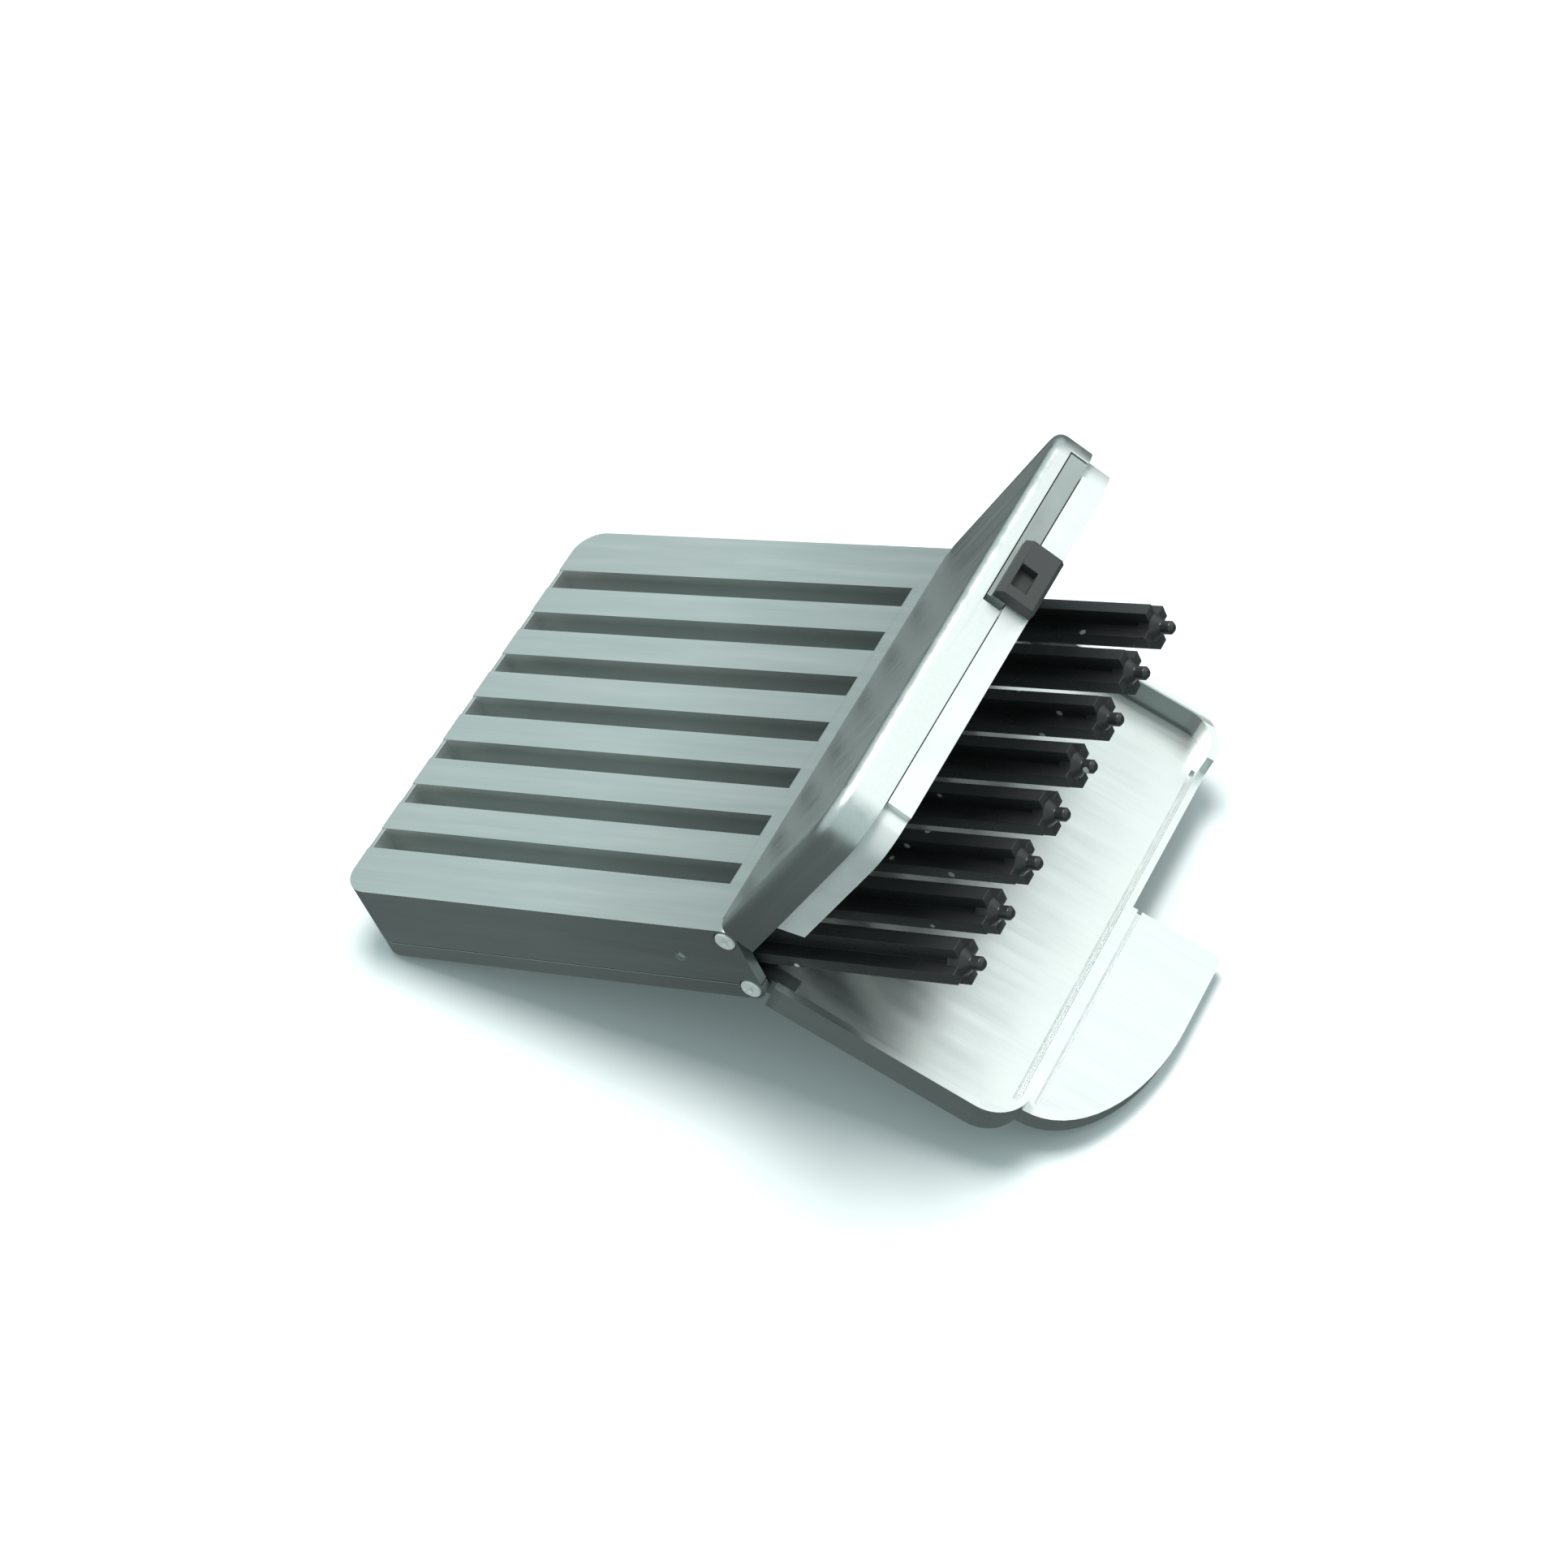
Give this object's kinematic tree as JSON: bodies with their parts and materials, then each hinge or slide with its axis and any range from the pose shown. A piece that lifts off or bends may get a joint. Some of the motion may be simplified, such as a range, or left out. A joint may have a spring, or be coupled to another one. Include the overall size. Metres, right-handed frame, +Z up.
{
  "type": "wax guard stick case",
  "caption": "Flat pocket case whose two clamshell covers swing open at one end to offer a row of sliding filter sticks for hearing aids.",
  "frame": {"origin": "on the surface the open case stands on, under the middle of its bounding box", "axes": "+X from the case's closed end towards its covers, +Y across the row of sticks with the front side at -Y, +Z up; the case itself is tipped up about 18 degrees at its cover end"},
  "size_m": [0.065, 0.042, 0.0365],
  "materials": {
    "silver": "satin grey-green silver, finely brushed along the slats",
    "grey_plastic": "smooth satin moulded plastic",
    "dark_grey_plastic": "satin moulded plastic",
    "steel": "bright turned pin heads",
    "black_plastic": "semi-gloss moulded plastic",
    "white_plastic": "matte moulded plastic"
  },
  "bodies": {
    "case": {"case_top_shell": "silver", "case_base_plate": "silver", "upper_hinge_pin_front": "steel", "upper_hinge_pin_back": "steel", "lower_hinge_pin_front": "steel", "lower_hinge_pin_back": "steel"},
    "upper_cover": {"upper_cover_shell": "silver", "upper_cover_liner": "grey_plastic", "latch_catch": "dark_grey_plastic"},
    "lower_cover": {"lower_cover": "silver"},
    "stick_unit_1": {"stick_1": "black_plastic", "wax_guard_1": "white_plastic"},
    "stick_unit_2": {"stick_2": "black_plastic", "wax_guard_2": "white_plastic"},
    "stick_unit_3": {"stick_3": "black_plastic", "wax_guard_3": "white_plastic"},
    "stick_unit_4": {"stick_4": "black_plastic", "wax_guard_4": "white_plastic"},
    "stick_unit_5": {"stick_5": "black_plastic", "wax_guard_5": "white_plastic"},
    "stick_unit_6": {"stick_6": "black_plastic", "wax_guard_6": "white_plastic"},
    "stick_unit_7": {"stick_7": "black_plastic", "wax_guard_7": "white_plastic"},
    "stick_unit_8": {"stick_8": "black_plastic", "wax_guard_8": "white_plastic"}
  },
  "joints": [
    {"name": "upper_cover_hinge", "type": "hinge", "parent": "case", "child": "upper_cover", "pos_m": [0.00289, 0, 0.01727], "axis": [0, -1, 0], "range_deg": [-41, 4]},
    {"name": "lower_cover_hinge", "type": "hinge", "parent": "case", "child": "lower_cover", "pos_m": [0.00448, 0, 0.01232], "axis": [0, 1, 0], "range_deg": [-40, 0]},
    {"name": "stick_1_slide", "type": "slide", "parent": "case", "child": "stick_unit_1", "axis": [0.9519, 0, 0.3063], "range_m": [0, 0.028]},
    {"name": "stick_2_slide", "type": "slide", "parent": "case", "child": "stick_unit_2", "axis": [0.9519, 0, 0.3063], "range_m": [0, 0.028]},
    {"name": "stick_3_slide", "type": "slide", "parent": "case", "child": "stick_unit_3", "axis": [0.9519, 0, 0.3063], "range_m": [0, 0.028]},
    {"name": "stick_4_slide", "type": "slide", "parent": "case", "child": "stick_unit_4", "axis": [0.9519, 0, 0.3063], "range_m": [0, 0.028]},
    {"name": "stick_5_slide", "type": "slide", "parent": "case", "child": "stick_unit_5", "axis": [0.9519, 0, 0.3063], "range_m": [0, 0.028]},
    {"name": "stick_6_slide", "type": "slide", "parent": "case", "child": "stick_unit_6", "axis": [0.9519, 0, 0.3063], "range_m": [0, 0.028]},
    {"name": "stick_7_slide", "type": "slide", "parent": "case", "child": "stick_unit_7", "axis": [0.9519, 0, 0.3063], "range_m": [0, 0.028]},
    {"name": "stick_8_slide", "type": "slide", "parent": "case", "child": "stick_unit_8", "axis": [0.9519, 0, 0.3063], "range_m": [0, 0.028]}
  ]
}
